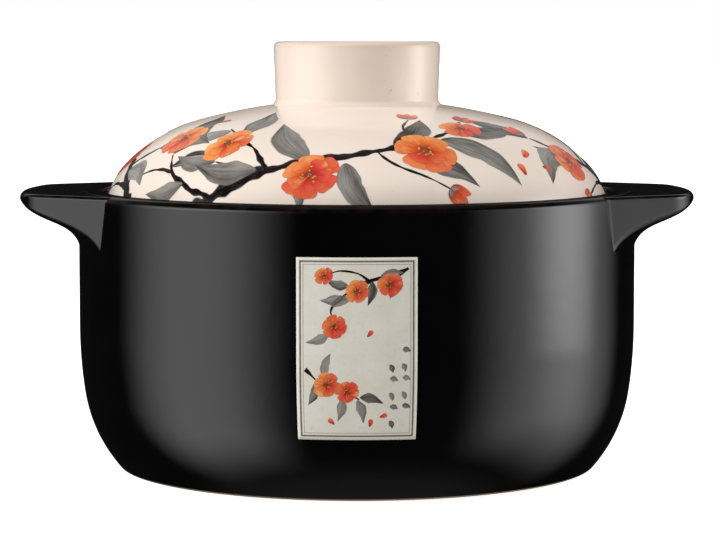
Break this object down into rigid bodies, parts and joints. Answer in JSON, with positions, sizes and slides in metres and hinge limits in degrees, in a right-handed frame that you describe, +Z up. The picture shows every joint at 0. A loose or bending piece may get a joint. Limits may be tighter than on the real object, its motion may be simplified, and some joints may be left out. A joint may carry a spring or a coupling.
{
  "type": "clay casserole pot",
  "caption": "Round lidded stoneware casserole: black-glazed pot with ledge handles and a rim seat for a pale domed lid with a ring knob.",
  "frame": {"origin": "centre of the foot ring, on the surface that the pot stands on", "axes": "+Z up along the pot's axis, the handles along +X and -X, the printed panel facing -Y"},
  "size_m": [0.29, 0.2402, 0.1831],
  "materials": {
    "black_glaze": "gloss black glaze on dark stoneware",
    "cream_glaze": "gloss cream glaze with a painted spray of blossom",
    "printed_panel": "cream fired print with fine dark border lines, satin"
  },
  "bodies": {
    "pot": {"pot_shell": "black_glaze", "right_handle": "black_glaze", "left_handle": "black_glaze", "front_panel": "printed_panel"},
    "lid": {"lid_dome": "cream_glaze", "lid_knob": "cream_glaze"}
  },
  "joints": [
    {"name": "lid_lift", "type": "slide", "parent": "pot", "child": "lid", "axis": [0, 0, 1], "range_m": [0, 0.12]}
  ]
}
